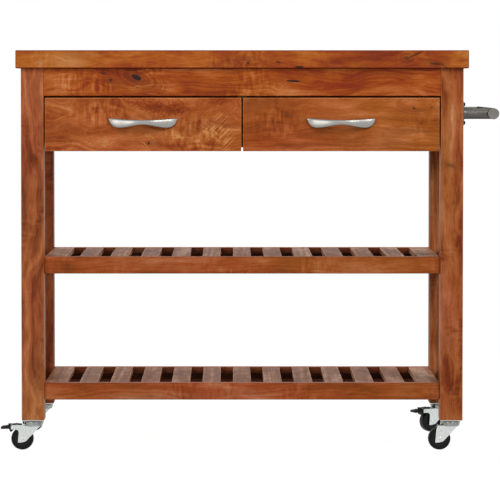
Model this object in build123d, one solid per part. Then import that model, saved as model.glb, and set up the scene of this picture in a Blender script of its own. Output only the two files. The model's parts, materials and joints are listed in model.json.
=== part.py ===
from build123d import *
import os
from math import cos, radians, sin

# A rolling kitchen cart in solid hardwood: a worktop, two drawers side by side, two slatted
# shelves, a steel push rail on the right end and four swivel casters, two of them braked.
# Millimetres. X runs to the cart's right, Y to its back and Z up from the floor.

# Worktop and legs
worktop_length = 1000
worktop_depth = 400
worktop_thickness = 40
worktop_edge_chamfer = 2
end_overhang = 11
front_overhang = 10
leg_side = 50
leg_edge_chamfer = 1.5

# Heights, stacked up from the casters
foot_length = 45
shelf_rail_height = 37.5
lower_bay_height = 243
upper_bay_height = 234
drawer_front_height = 118
drawer_top_gap = 4
front_apron_height = 61

# Rails and their stub tenons
rail_thickness = 20
rail_setback = 8
rail_edge_chamfer = 1
tenon_length = 15
tenon_thickness = 10
tenon_shoulder = 6
joint_clearance = 0.1

# Slatted shelves
slat_width = 40
end_slat_width = 47
slat_gap_wanted = 28
slat_thickness = 12
slat_end_gap = 1
cleat_side = 15

# Board between the drawers
divider_thickness = 20
divider_lift = 12
housing_depth = 5

# Drawers
drawer_front_thickness = 18
drawer_front_setback = 1
drawer_front_chamfer = 1
drawer_end_gap = 3
drawer_centre_gap = 4
drawer_side_thickness = 14
drawer_side_lift = 8
drawer_side_drop = 18
drawer_back_thickness = 12
drawer_back_inset = 10
drawer_rear_gap = 33
drawer_bottom_thickness = 5
drawer_bottom_lift = 8
drawer_groove_depth = 4
divider_gap = 5

# Drawer runners
runner_height = 14
runner_groove_depth = 5
runner_side_clearance = 0.5
runner_top_clearance = 0.3
runner_front_gap = 3

# Bow pull
pull_length = 150
pull_hole_spacing = 128
pull_projection = 25
pull_foot_depth = 6
pull_thickness = 7
pull_foot_length = 22
pull_middle_top = 6.4
pull_end_top = 10.4
pull_middle_depth = 4.4
pull_belly_depth = 14
pull_belly_spacing = 126
pull_belly_radius = 14
pull_end_height = 2
pull_rise = 4
pull_screw_radius = 2
pull_screw_head_radius = 3.8
pull_screw_head_height = 2.5
pull_screw_bite = 5

# Rail handle
handle_radius = 12.5
handle_wall = 1.5
handle_reach = 66.5
handle_drop = 140
handle_stub = 25
handle_cap_thickness = 1.5
handle_spigot_length = 8
spigot_ribs = 12
bracket_post_radius = 12
bracket_plate_thickness = 2
bracket_plate_width = 27
bracket_plate_margin = 6
bracket_plate_chamfer = 6
bracket_screw_spacing = 41
bracket_screw_radius = 2.5
bracket_screw_head_radius = 4.3
bracket_screw_head_height = 4
bracket_screw_length = 30

# Wood screws and the corner blocks
screw_radius = 2
screw_head_radius = 3.8
screw_clearance = 0.1
screw_flats = 6
pin_flats = 24
dish_flats = 20
caster_screw_length = 18
runner_screw_bite = 15
worktop_screw_bite = 25
corner_block_height = 45
corner_block_leg = 55

# Caster wheel and its axle
wheel_diameter = 50
wheel_width = 18
wheel_rim_width = 5.5
wheel_flats = 40
wheel_dish = 1.5
wheel_trail = 25
hub_clearance = 1.2
axle_radius = 3
axle_head_radius = 3.6
axle_proud = 0.8
running_clearance = 0.05

# Caster fork, its race and its plate
fork_sheet = 2
fork_nose = 17
fork_toe = 7
fork_toe_lift = 2
fork_heel = 9.5
fork_below_axle = 8.5
fork_corner_cut = 1.5
fork_heel_slope = 6
horn_depth = 9.5
horn_heel_slope = 2.5
horn_fillet = 8
horn_web_setback = 4
wheel_top_gap = 3.5
race_height = 10.5
race_radius = 14
race_width = 4
race_flats = 12
race_clearance = 0.3
cup_radius = 22
cup_taper = 3
cup_lip_height = 2.5
cup_top_gap = 0.8
plate_thickness = 2
plate_margin = 1.5
plate_screw_margin = 5
plate_corner_chamfer = 3
kingpin_radius = 3
kingpin_head_radius = 5
kingpin_foot_height = 2

# How far each caster stands swivelled from trailing to the left, in degrees
rest_turns = {"front_left": 0, "front_right": 0, "rear_left": 0, "rear_right": 27}

# Brake pedals
pedal_pin_radius = 1.75
pedal_pin_head_radius = 2.2
pedal_pin_behind_axle = 20
pedal_pin_below_web = 4
pedal_boss_radius = 3.4
pedal_shoe_radius = 2.2
pedal_shoe_gap = 0.3
pedal_shoe_angle = 144
pedal_travel = 20
pedal_root_radius = 3.4
pedal_root_reach = 3
pedal_pad_reach = 20
pedal_tip_radius = 2.6
pedal_tip_drop = 1.2
pedal_side_gap = 0.8
pedal_tongue_width = 12
pedal_tongue_thickness = 2
pedal_tongue_gap = 4
pedal_web_gap = 0.3
pedal_flats = 12

# Places that follow from the sizes
frame_length = worktop_length - 2 * end_overhang
frame_depth = worktop_depth - 2 * front_overhang
inner_length = frame_length - 2 * leg_side
inner_depth = frame_depth - 2 * leg_side
leg_x = (frame_length - leg_side) / 2
leg_y = (frame_depth - leg_side) / 2

fork_web_bottom = wheel_diameter + wheel_top_gap
fork_web_top = fork_web_bottom + fork_sheet
plate_bottom = fork_web_top + race_height
caster_height = plate_bottom + plate_thickness
axle_x, axle_z = -wheel_trail, wheel_diameter / 2
fork_inner_half = wheel_width / 2 + hub_clearance
fork_outer_half = fork_inner_half + fork_sheet
horn_tip = axle_x - wheel_diameter / 2
pedal_pin_x = axle_x - pedal_pin_behind_axle
pedal_pin_z = fork_web_bottom - pedal_pin_below_web

lower_shelf_top = caster_height + foot_length + shelf_rail_height
middle_shelf_top = lower_shelf_top + lower_bay_height + shelf_rail_height
shelf_tops = {"lower_shelf": lower_shelf_top, "middle_shelf": middle_shelf_top}
drawer_front_bottom = middle_shelf_top + upper_bay_height
drawer_front_top = drawer_front_bottom + drawer_front_height
front_apron_bottom = drawer_front_top + drawer_top_gap
frame_top = front_apron_bottom + front_apron_height
deep_apron_height = frame_top - drawer_front_bottom
worktop_top = frame_top + worktop_thickness

rail_y = frame_depth / 2 - rail_setback - rail_thickness / 2
rail_x = frame_length / 2 - rail_setback - rail_thickness / 2
front_apron_y = -(frame_depth - rail_thickness) / 2
front_apron_back = front_apron_y + rail_thickness / 2
rear_rail_face = rail_y - rail_thickness / 2

drawer_face = -frame_depth / 2 + drawer_front_setback
drawer_front_back = drawer_face + drawer_front_thickness
drawer_width = (inner_length - drawer_centre_gap) / 2 - drawer_end_gap
drawer_x = (drawer_width + drawer_centre_gap) / 2
drawer_box_half = (drawer_width - divider_thickness + drawer_centre_gap) / 2 - divider_gap
drawer_inner_half = drawer_box_half - drawer_side_thickness
drawer_box_end = rear_rail_face - drawer_rear_gap
drawer_side_bottom = drawer_front_bottom + drawer_side_lift
drawer_side_top = drawer_front_top - drawer_side_drop
drawer_floor = drawer_side_bottom + drawer_bottom_lift
runner_z = (drawer_side_bottom + drawer_side_top) / 2
runner_front = drawer_front_back + runner_front_gap
pull_z = (drawer_front_bottom + drawer_front_top) / 2 + pull_rise

handle_x = frame_length / 2 + handle_reach
handle_z = worktop_top - handle_drop
handle_length = frame_depth - leg_side + 2 * handle_stub


def block(x, y, z):
    """A box between two corners, each range given as (low, high)."""
    size = [high - low for low, high in (x, y, z)]
    middle = [(high + low) / 2 for low, high in (x, y, z)]
    return Pos(*middle) * Box(*size)


def to_side(side, near, far):
    """The range from near to far, on the left for side -1 and on the right for 1."""
    return sorted((side * near, side * far))


def across(outline, half_width):
    """A flat outline in X and Z, made solid to both sides of the middle plane."""
    return extrude(Plane.XZ * outline, half_width, both=True)


def flats(radius, count=screw_flats):
    """A round section with few flats, for what repeats many times, its flats at the radius."""
    return RegularPolygon(radius, count, major_radius=False)


def countersunk_screw(length, grow=0):
    """A wood screw down the -Z axis with its flat head at zero."""
    shank = screw_radius + grow
    head = screw_head_radius + grow
    cone = extrude(Rot(180, 0, 0) * flats(head), head - shank, taper=45)
    return cone + extrude(flats(shank), -length)


def headed_screw(radius, length, head_radius, head_height, grow=0):
    """A machine or round-headed screw down the -Z axis, its head standing on zero."""
    return extrude(flats(radius + grow), -length) + extrude(flats(head_radius), head_height)


def worktop():
    size = (worktop_length, worktop_depth, worktop_thickness)
    slab = Pos(0, 0, frame_top + worktop_thickness / 2) * Box(*size)
    slab = chamfer(slab.edges(), worktop_edge_chamfer)
    return slab - worktop_screws(screw_clearance)


# Rails, from leg to leg

def rail(length, height):
    """A rail along X with a stub tenon at each end."""
    body = Box(length, rail_thickness, height)
    body = chamfer(body.edges().filter_by(Axis.X), rail_edge_chamfer)
    return body + tenon_bar(length, height)


def tenon_bar(length, height, clearance=0):
    """The bar whose ends are a rail's two tenons, or with a clearance its two mortises."""
    return Box(
        length + 2 * (tenon_length + clearance),
        tenon_thickness + 2 * clearance,
        height - 2 * (tenon_shoulder - clearance),
    )


def lengthwise(y, top, height):
    return (Pos(0, y, top - height / 2), inner_length, height)


def endwise(side, top, height):
    return (Pos(side * rail_x, 0, top - height / 2) * Rot(0, 0, 90), inner_depth, height)


def rail_places():
    """Where the rails of each node go, with their length and height."""
    places = {
        "front_apron": [lengthwise(front_apron_y, frame_top, front_apron_height)],
        "rear_apron": [lengthwise(rail_y, frame_top, deep_apron_height)],
        "left_apron": [endwise(-1, frame_top, deep_apron_height)],
        "right_apron": [endwise(1, frame_top, deep_apron_height)],
    }
    for shelf, top in shelf_tops.items():
        places[f"{shelf}_front_rail"] = [lengthwise(-rail_y, top, shelf_rail_height)]
        places[f"{shelf}_rear_rail"] = [lengthwise(rail_y, top, shelf_rail_height)]
        places[f"{shelf}_end_rails"] = [endwise(s, top, shelf_rail_height) for s in (-1, 1)]
    return places


def rails():
    """Every rail by node, with the divider's housings cut into the long aprons."""
    made = {
        node: [place * rail(length, height) for place, length, height in places]
        for node, places in rail_places().items()
    }
    for node in ("front_apron", "rear_apron"):
        made[node] = [made[node][0] - divider(joint_clearance)]
    return made


def leg(x_side, y_side):
    """One leg with eased arrises, its mortises and its screws' pilot holes."""
    half = (-leg_side / 2, leg_side / 2)
    post = block(half, half, (caster_height, frame_top))
    post = chamfer(post.edges().filter_by(Axis.Z), leg_edge_chamfer)
    post = Pos(x_side * leg_x, y_side * leg_y, 0) * (post - caster_screws(screw_clearance))
    mortises = [
        place * tenon_bar(length, height, joint_clearance)
        for places in rail_places().values() for place, length, height in places
    ]
    return post - mortises - runner_screws(screw_clearance) - handle_screws(screw_clearance)


# Shelves and the fittings under the worktop

def slats(top):
    """A shelf's boards, front to back, spread evenly between the legs."""
    start = -inner_length / 2 + slat_end_gap
    room = -2 * start - 2 * end_slat_width
    count = round((room - slat_gap_wanted) / (slat_width + slat_gap_wanted))
    gap = (room - count * slat_width) / (count + 1)
    boards = []
    for width in [end_slat_width] + [slat_width] * count + [end_slat_width]:
        depth = (-rear_rail_face, rear_rail_face)
        boards.append(block((start, start + width), depth, (top - slat_thickness, top)))
        start += width + gap
    return boards


def cleats(top):
    """The square battens along the two long rails that the slats lie on."""
    length = (-inner_length / 2, inner_length / 2)
    height = (top - slat_thickness - cleat_side, top - slat_thickness)
    near = rear_rail_face - cleat_side
    return [block(length, to_side(side, near, rear_rail_face), height) for side in (-1, 1)]


def divider(clearance=0):
    """The board between the drawers, behind their fronts and let into both long aprons."""
    x = (-divider_thickness / 2 - clearance, divider_thickness / 2 + clearance)
    rear = rear_rail_face + housing_depth + clearance
    front = front_apron_back - housing_depth - clearance
    bottom = drawer_front_bottom + divider_lift - clearance
    low = block(x, (runner_front, rear), (bottom, frame_top))
    return low + block(x, (front, rear), (front_apron_bottom, frame_top))


def corner_place(y_side):
    """The face of the long rail in a corner, the front one being nearer the outside."""
    return rear_rail_face if y_side > 0 else -front_apron_back


def corner_block(x_side, y_side):
    """A glue block in the corner under the worktop, notched round the leg."""
    rail_face = corner_place(y_side)
    end_face = rail_x - rail_thickness / 2
    near_x = inner_length / 2 - corner_block_leg
    outline = Polyline(
        (end_face, inner_depth / 2),
        (inner_length / 2, inner_depth / 2),
        (inner_length / 2, rail_face),
        (near_x, rail_face),
        (end_face, rail_face - (end_face - near_x)),
        close=True,
    )
    solid = extrude(make_face(outline), corner_block_height)
    solid = Pos(0, 0, frame_top - corner_block_height) * solid
    if x_side < 0:
        solid = mirror(solid, Plane.YZ)
    if y_side < 0:
        solid = mirror(solid, Plane.XZ)
    return solid - worktop_screws(screw_clearance)


def worktop_screws(grow=0):
    """The four screws up through the corner blocks into the worktop."""
    screw = Rot(180, 0, 0) * countersunk_screw(corner_block_height + worktop_screw_bite, grow)
    x = inner_length / 2 - corner_block_leg / 3
    return [
        Pos(x_side * x, y_side * (corner_place(y_side) - corner_block_leg / 3),
            frame_top - corner_block_height) * screw
        for x_side in (-1, 1) for y_side in (-1, 1)
    ]


def runner_faces(side):
    """For a drawer, its two runners' carrying and sliding faces, as distances from the middle."""
    reach = drawer_box_half - runner_groove_depth + runner_side_clearance
    return ((inner_length / 2, drawer_x + reach), (divider_thickness / 2, drawer_x - reach))


def runners():
    """The battens in the drawers' side grooves, on the legs outside and on the divider inside."""
    height = (runner_z - runner_height / 2, runner_z + runner_height / 2)
    return [
        block(to_side(side, *faces), (runner_front, rear_rail_face), height)
        - runner_screws(screw_clearance)
        for side in (-1, 1) for faces in runner_faces(side)
    ]


def runner_screws(grow=0):
    """Two screws through each runner, into the legs or into the divider."""
    front = (runner_front - inner_depth / 2) / 2
    rear = (rear_rail_face + inner_depth / 2) / 2
    screws = []
    for side in (-1, 1):
        for carrier, slide in runner_faces(side):
            outward = side if carrier > slide else -side
            screw = countersunk_screw(abs(carrier - slide) + runner_screw_bite, grow)
            # both faces of the divider carry a runner, so the screws of one are set further in
            inset = 3 * screw_head_radius if outward < 0 < side else 0
            for y in (front + inset, rear - inset):
                screws.append(Pos(side * slide, y, runner_z) * Rot(0, -90 * outward, 0) * screw)
    return screws


# Drawers, built about their own middle in X

def drawer_side(side):
    """A side board, grooved outside for its runner and inside for the bottom and the back."""
    length = (drawer_front_back - housing_depth, drawer_box_end)
    height = (drawer_side_bottom, drawer_side_top)
    board = block(to_side(side, drawer_inner_half, drawer_box_half), length, height)
    groove = runner_height / 2 + runner_top_clearance
    board -= block(
        to_side(side, drawer_box_half - runner_groove_depth, drawer_box_half + 1),
        (drawer_front_back, drawer_box_end + 1),
        (runner_z - groove, runner_z + groove),
    )
    return board - drawer_bottom(joint_clearance, drawer_box_end) - drawer_back(joint_clearance)


def drawer_bottom(clearance=0, rear=drawer_box_end - drawer_back_inset):
    """The bottom panel, let into the front and both sides and passing under the back."""
    half = drawer_inner_half + drawer_groove_depth + clearance
    front = drawer_front_back - drawer_groove_depth - clearance
    height = (drawer_floor - clearance, drawer_floor + drawer_bottom_thickness + clearance)
    return block((-half, half), (front, rear + clearance), height)


def drawer_back(clearance=0):
    """The back board, let into both sides and standing on the bottom panel."""
    half = drawer_inner_half + drawer_groove_depth + clearance
    rear = drawer_box_end - drawer_back_inset
    depth = (rear - drawer_back_thickness - clearance, rear + clearance)
    height = (drawer_floor + drawer_bottom_thickness, drawer_side_top + clearance)
    return block((-half, half), depth, height)


def drawer_front():
    """The front board with its housings for the sides and the bottom and its screw holes."""
    half = drawer_width / 2
    board = block((-half, half), (drawer_face, drawer_front_back),
                  (drawer_front_bottom, drawer_front_top))
    board = chamfer(board.faces().sort_by(Axis.Y)[0].edges(), drawer_front_chamfer)
    depth = (drawer_front_back - housing_depth - joint_clearance, drawer_front_back)
    height = (drawer_side_bottom - joint_clearance, drawer_side_top + joint_clearance)
    for side in (-1, 1):
        width = to_side(side, drawer_inner_half - joint_clearance,
                        drawer_box_half + joint_clearance)
        board -= block(width, depth, height)
    board -= drawer_bottom(joint_clearance)
    return board - pull_screws(screw_clearance)


def pull_face():
    """The bow pull seen from the front: a hollow top, and a belly low at both sides."""
    half = pull_length / 2
    belly = pull_belly_spacing / 2
    corner = pull_end_top - pull_end_height
    top = ThreePointArc((-half, pull_end_top), (0, pull_middle_top), (half, pull_end_top))
    under = ThreePointArc((-belly, -pull_belly_depth), (0, -pull_middle_depth),
                          (belly, -pull_belly_depth))
    ends = [
        Polyline((side * half, pull_end_top), (side * half, corner), (side * belly, -pull_belly_depth))
        for side in (-1, 1)
    ]
    face = make_face(top + under + ends)
    return fillet(face.vertices().group_by(Axis.Y)[0], pull_belly_radius)


def pull_plan():
    """The same pull seen from above: an even bow that thickens into its two feet."""
    half = pull_length / 2
    inside = half - pull_foot_length
    outer = ThreePointArc((-half, -pull_foot_depth), (0, -pull_projection), (half, -pull_foot_depth))
    inner = ThreePointArc((-inside, 0), (0, pull_thickness - pull_projection), (inside, 0))
    rest = [Polyline((side * half, -pull_foot_depth), (side * half, 0), (side * inside, 0))
            for side in (-1, 1)]
    return make_face(outer + inner + rest)


def pull():
    """The bow pull, where its front view and its plan cross."""
    solid = extrude(Plane.XZ * pull_face(), pull_projection)
    solid &= extrude(pull_plan(), pull_length, both=True)
    return Pos(0, drawer_face, pull_z) * solid - pull_screws(screw_clearance)


def pull_screws(grow=0):
    """The two machine screws through the drawer front into the pull's feet."""
    screw = Rot(-90, 0, 0) * headed_screw(
        pull_screw_radius, drawer_front_thickness + pull_screw_bite,
        pull_screw_head_radius, pull_screw_head_height, grow,
    )
    return [
        Pos(side * pull_hole_spacing / 2, drawer_front_back, pull_z) * screw for side in (-1, 1)
    ]


def drawer(name, side):
    """Every piece of one drawer, by node."""
    pieces = {
        "front": [drawer_front()],
        "sides": [drawer_side(-1), drawer_side(1)],
        "back": [drawer_back()],
        "bottom": [drawer_bottom()],
        "pull": [pull()],
        "pull_screws": pull_screws(),
    }
    place = Pos(side * drawer_x, 0, 0)
    return {
        f"{name}_drawer_{piece}": [place * solid for solid in solids]
        for piece, solids in pieces.items()
    }


# Rail handle on the right end

def handle_tube():
    length = handle_length - 2 * handle_cap_thickness
    tube = Cylinder(handle_radius, length) - Cylinder(handle_radius - handle_wall, length)
    return Pos(handle_x, 0, handle_z) * Rot(90, 0, 0) * tube


def handle_caps():
    """The flat discs that close the tube, each with a spigot whose corners grip inside it."""
    spigot = handle_radius - handle_wall - joint_clearance
    inside = -handle_cap_thickness - handle_spigot_length
    cap = extrude(Circle(handle_radius), -handle_cap_thickness)
    cap += extrude(RegularPolygon(spigot, spigot_ribs), inside)
    return [
        Pos(handle_x, side * handle_length / 2, handle_z) * Rot(-90 * side, 0, 0) * cap
        for side in (-1, 1)
    ]


def handle_bracket(y_side):
    """A plate on the leg and a post, its end hollowed to seat the tube."""
    plate_length = bracket_screw_spacing + 2 * bracket_plate_margin
    plate = Pos(0, 0, bracket_plate_thickness / 2) * Box(
        plate_length, bracket_plate_width, bracket_plate_thickness
    )
    plate = chamfer(plate.edges().filter_by(Axis.Z), bracket_plate_chamfer)
    post = Pos(0, 0, handle_reach / 2) * Cylinder(bracket_post_radius, handle_reach)
    bracket = Pos(frame_length / 2, y_side * leg_y, handle_z) * Rot(0, 90, 0) * (plate + post)
    bracket -= Pos(handle_x, 0, handle_z) * Rot(90, 0, 0) * Cylinder(handle_radius, handle_length)
    return bracket - handle_screws(screw_clearance)


def handle_screws(grow=0):
    """The round-headed black screws above and below each post, through the plate into the leg."""
    screw = Rot(0, 90, 0) * headed_screw(
        bracket_screw_radius, bracket_screw_length,
        bracket_screw_head_radius, bracket_screw_head_height, grow,
    )
    return [
        Pos(frame_length / 2 + bracket_plate_thickness, y_side * leg_y,
            handle_z + z_side * bracket_screw_spacing / 2) * screw
        for y_side in (-1, 1) for z_side in (-1, 1)
    ]


# Casters, each built about its swivel axis with the wheel trailing to the left

def caster_screws(grow=0):
    """The four screws up through a plate into the end of its leg."""
    spot = leg_side / 2 - plate_margin - plate_screw_margin
    screw = Rot(180, 0, 0) * countersunk_screw(caster_screw_length, grow)
    return [Pos(x * spot, y * spot, plate_bottom) * screw for x in (-1, 1) for y in (-1, 1)]


def caster_plate():
    """The square plate, holed for the kingpin's head and countersunk for its screws."""
    side = leg_side - 2 * plate_margin
    sheet = block((-side / 2, side / 2), (-side / 2, side / 2), (plate_bottom, caster_height))
    sheet = chamfer(sheet.edges().filter_by(Axis.Z), plate_corner_chamfer)
    sheet -= extrude(flats(kingpin_head_radius), caster_height)
    return sheet - caster_screws(screw_clearance)


def kingpin():
    """The rivet that the fork turns on, its top flush in the plate and its foot under the fork."""
    foot = fork_web_bottom - race_clearance
    shank = extrude(flats(kingpin_radius, pin_flats), plate_bottom - foot)
    head = extrude(flats(kingpin_head_radius), plate_thickness)
    collar = extrude(flats(kingpin_head_radius), -kingpin_foot_height)
    return Pos(0, 0, foot) * (shank + collar) + Pos(0, 0, plate_bottom) * head


def race_ring():
    """The hardened ring between plate and fork, where the bearing balls run."""
    outer = flats(race_radius + race_width / 2, race_flats)
    inner = flats(race_radius - race_width / 2, race_flats)
    return Pos(0, 0, plate_bottom) * extrude(outer - inner, race_clearance - race_height)


def fork_outline(braked):
    """A fork's side plate seen from the side, with a horn over the wheel if it has a brake."""
    bottom = axle_z - fork_below_axle
    heel = axle_x - fork_heel
    toe = axle_x + fork_toe
    cut = fork_corner_cut
    toe_bottom = bottom + fork_toe_lift
    nose = [(fork_nose, fork_web_top), (toe + cut, toe_bottom + cut), (toe - cut, toe_bottom)]
    foot = [(heel + cut, bottom), (heel, bottom + cut)]
    if not braked:
        return make_face(Polyline(*nose, *foot, (heel + fork_heel_slope, fork_web_top), close=True))
    under = fork_web_top - horn_depth
    corner = (heel + horn_heel_slope, under)
    horn = [corner, (horn_tip, under), (horn_tip, fork_web_top)]
    face = make_face(Polyline(*nose, *foot, *horn, close=True))
    return fillet(face.vertices().sort_by_distance(corner)[0], horn_fillet)


def fork(braked):
    """The pressed steel fork: a race cup, the web under it and a plate each side of the wheel."""
    depth = plate_bottom - cup_top_gap - fork_web_bottom
    cup = extrude(flats(cup_radius, dish_flats), -depth)
    foot = cup.faces().sort_by(Axis.Z)[0]
    cup = chamfer(foot.edges(), cup_taper, depth - cup_lip_height, reference=foot)
    cup -= extrude(flats(cup_radius - cup_taper - fork_sheet, dish_flats), fork_sheet - depth)
    cup = Pos(0, 0, plate_bottom - cup_top_gap) * cup
    tail = horn_tip + horn_web_setback if braked else axle_x - fork_heel + fork_heel_slope
    web = block((tail, 0), (-fork_outer_half, fork_outer_half), (fork_web_bottom, fork_web_top))
    outline = fork_outline(braked)
    plates = across(outline, fork_outer_half) - across(outline, fork_inner_half)
    solid = cup + web + plates
    solid -= extrude(flats(kingpin_radius + running_clearance, pin_flats), caster_height)
    solid -= across(Pos(axle_x, axle_z) * flats(axle_head_radius), wheel_width)
    if braked:
        solid -= across(Pos(pedal_pin_x, pedal_pin_z) * flats(pedal_pin_head_radius), wheel_width)
    return solid


def headed_pin(radius, head_radius):
    """A pin across the fork, round between its plates and headed where it is fixed in them."""
    heads = flats(head_radius)
    ends = across(heads, fork_outer_half + axle_proud) - across(heads, fork_inner_half)
    return across(flats(radius, pin_flats), fork_inner_half) + ends


def axle():
    return Pos(axle_x, 0, axle_z) * headed_pin(axle_radius, axle_head_radius)


def wheel():
    """The moulded wheel, dished between its rim and its bore on both sides."""
    half = wheel_width / 2
    # half a step round, so that the wheel stands on a flat
    tread = Rot(0, 0, 180 / wheel_flats) * flats(wheel_diameter / 2, wheel_flats)
    dish = flats(wheel_diameter / 2 - wheel_rim_width, dish_flats)
    bore = flats(axle_radius + running_clearance, pin_flats)
    dishes = across(dish, half) - across(dish, half - wheel_dish)
    return Pos(axle_x, 0, axle_z) * (across(tread - bore, half) - dishes)


def shoe_place():
    """The brake shoe's middle at rest: just off the tread when the pedal is down, turned back."""
    far = wheel_diameter / 2 + pedal_shoe_gap + pedal_shoe_radius
    angle = radians(pedal_shoe_angle)
    down = Vector(axle_x + far * cos(angle), 0, axle_z + far * sin(angle))
    pin = Vector(pedal_pin_x, 0, pedal_pin_z)
    return pin + (down - pin).rotate(Axis.Y, pedal_travel)


def brake_pedal():
    """The black pedal: a boss and shoe between the horns, a wide pad and a tongue over the web."""
    shoe = shoe_place()
    root_x = horn_tip - pedal_root_reach
    root_z = pedal_pin_z + pedal_root_radius / 3
    tip_x = root_x - pedal_pad_reach + pedal_tip_radius
    boss = Pos(pedal_pin_x, pedal_pin_z) * flats(pedal_boss_radius, pedal_flats)
    root = Pos(root_x, root_z) * flats(pedal_root_radius, pedal_flats)
    wide_root = Pos(root_x - pedal_root_radius, root_z) * flats(pedal_root_radius, pedal_flats)
    tip = Pos(tip_x, root_z - pedal_tip_drop) * flats(pedal_tip_radius, pedal_flats)
    shoe_round = Pos(shoe.X, shoe.Z) * flats(pedal_shoe_radius, pedal_flats)
    middle = across(make_hull([*boss.edges(), *root.edges(), *shoe_round.edges()]),
                    fork_inner_half - pedal_side_gap)
    pad = across(make_hull([*wide_root.edges(), *tip.edges()]), fork_outer_half)
    low = fork_web_top + pedal_web_gap
    half = (-pedal_tongue_width / 2, pedal_tongue_width / 2)
    high = low + pedal_tongue_thickness
    tongue = block((root_x - pedal_root_radius, -cup_radius - pedal_tongue_gap), half, (low, high))
    riser = block((root_x - pedal_root_radius, horn_tip - pedal_root_reach / 2), half, (root_z, high))
    solid = middle + pad + tongue + riser
    hole = flats(pedal_pin_radius + running_clearance, pin_flats)
    return solid - across(Pos(pedal_pin_x, pedal_pin_z) * hole, wheel_width)


def brake_pin():
    return Pos(pedal_pin_x, 0, pedal_pin_z) * headed_pin(pedal_pin_radius, pedal_pin_head_radius)


def cart():
    """Every node's solids, in place about the middle of the leg frame."""
    nodes = {
        "worktop": [worktop()],
        "divider": [divider() - runner_screws(screw_clearance)],
        "drawer_runners": runners(),
        "runner_screws": runner_screws(),
        "slat_cleats": cleats(lower_shelf_top) + cleats(middle_shelf_top),
        "corner_blocks": [corner_block(x, y) for x in (-1, 1) for y in (-1, 1)],
        "worktop_screws": worktop_screws(),
        "handle_tube": [handle_tube()],
        "handle_caps": handle_caps(),
        "handle_bracket_front": [handle_bracket(-1)],
        "handle_bracket_rear": [handle_bracket(1)],
        "handle_screws": handle_screws(),
    }
    nodes |= rails() | drawer("left", -1) | drawer("right", 1)
    for shelf, top in shelf_tops.items():
        nodes[f"{shelf}_slats"] = slats(top)

    fixed = {"caster_plates": [], "caster_kingpins": [], "caster_races": [], "caster_screws": []}
    for y_name, y_side in (("front", -1), ("rear", 1)):
        for x_name, x_side in (("left", -1), ("right", 1)):
            corner = f"{y_name}_{x_name}"
            place = Pos(x_side * leg_x, y_side * leg_y, 0)
            turned = place * Rot(0, 0, rest_turns[corner])
            nodes[f"leg_{corner}"] = [leg(x_side, y_side)]
            fixed["caster_plates"].append(place * caster_plate())
            fixed["caster_kingpins"].append(place * kingpin())
            fixed["caster_races"].append(place * race_ring())
            fixed["caster_screws"] += [place * screw for screw in caster_screws()]
            braked = corner in ("front_left", "rear_right")
            nodes[f"{corner}_fork"] = [turned * fork(braked)]
            nodes[f"{corner}_axle"] = [turned * axle()]
            nodes[f"{corner}_wheel"] = [turned * wheel()]
            if braked:
                nodes[f"{corner}_brake_pedal"] = [turned * brake_pedal()]
                nodes[f"{corner}_brake_pin"] = [turned * brake_pin()]
    return nodes | fixed


def main():
    nodes = cart()
    # the origin is on the floor under the middle of the whole cart's box
    whole = Compound([solid for solids in nodes.values() for solid in solids])
    middle = whole.bounding_box().center()
    home = Pos(-middle.X, -middle.Y, 0)
    print("origin moved by", round(-middle.X, 3), round(-middle.Y, 3))
    os.makedirs("parts", exist_ok=True)
    for name, solids in nodes.items():
        moved = [home * solid for solid in solids]
        node = moved[0] if len(moved) == 1 else Compound(moved)
        node.label = name
        export_step(node, f"parts/{name}.step")


if __name__ == "__main__":
    main()
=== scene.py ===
import bpy
import json
import numpy as np
from functools import partial
from math import radians
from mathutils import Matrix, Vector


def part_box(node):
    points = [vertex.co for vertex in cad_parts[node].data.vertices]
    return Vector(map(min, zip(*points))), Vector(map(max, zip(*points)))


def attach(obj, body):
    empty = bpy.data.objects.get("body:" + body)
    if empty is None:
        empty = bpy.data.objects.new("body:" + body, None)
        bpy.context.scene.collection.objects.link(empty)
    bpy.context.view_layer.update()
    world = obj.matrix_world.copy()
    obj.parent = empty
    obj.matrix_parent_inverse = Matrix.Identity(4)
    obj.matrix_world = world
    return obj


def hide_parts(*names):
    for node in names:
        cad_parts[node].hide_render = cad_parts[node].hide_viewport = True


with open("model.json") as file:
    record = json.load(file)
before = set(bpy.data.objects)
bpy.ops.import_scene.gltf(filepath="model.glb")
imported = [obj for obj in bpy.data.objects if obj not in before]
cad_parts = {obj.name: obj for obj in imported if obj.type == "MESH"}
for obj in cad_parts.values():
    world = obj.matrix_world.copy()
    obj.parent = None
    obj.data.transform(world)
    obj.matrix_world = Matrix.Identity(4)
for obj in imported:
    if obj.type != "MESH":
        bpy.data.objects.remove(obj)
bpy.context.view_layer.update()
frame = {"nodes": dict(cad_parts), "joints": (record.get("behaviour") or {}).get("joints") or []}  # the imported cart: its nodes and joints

# A rolling kitchen cart in oiled acacia, with plated steel fittings and black-wheeled casters.
# Metres, in the frame's own axes: X to the cart's right, Y to its back, Z up from the floor.

millimetre = 0.001
chance = np.random.default_rng(7)
print("frame loaded")


# Camera, floor and light

photoCamera = {
    "place": (-0.0388, -6.326, 0.8198),
    "tilt": 2.242,           # degrees down from level
    "lens": 200.2,           # millimetres, as is the width of the sensor
    "sensor": 36,
    "shift": (0.0368, -0.12),
}

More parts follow.
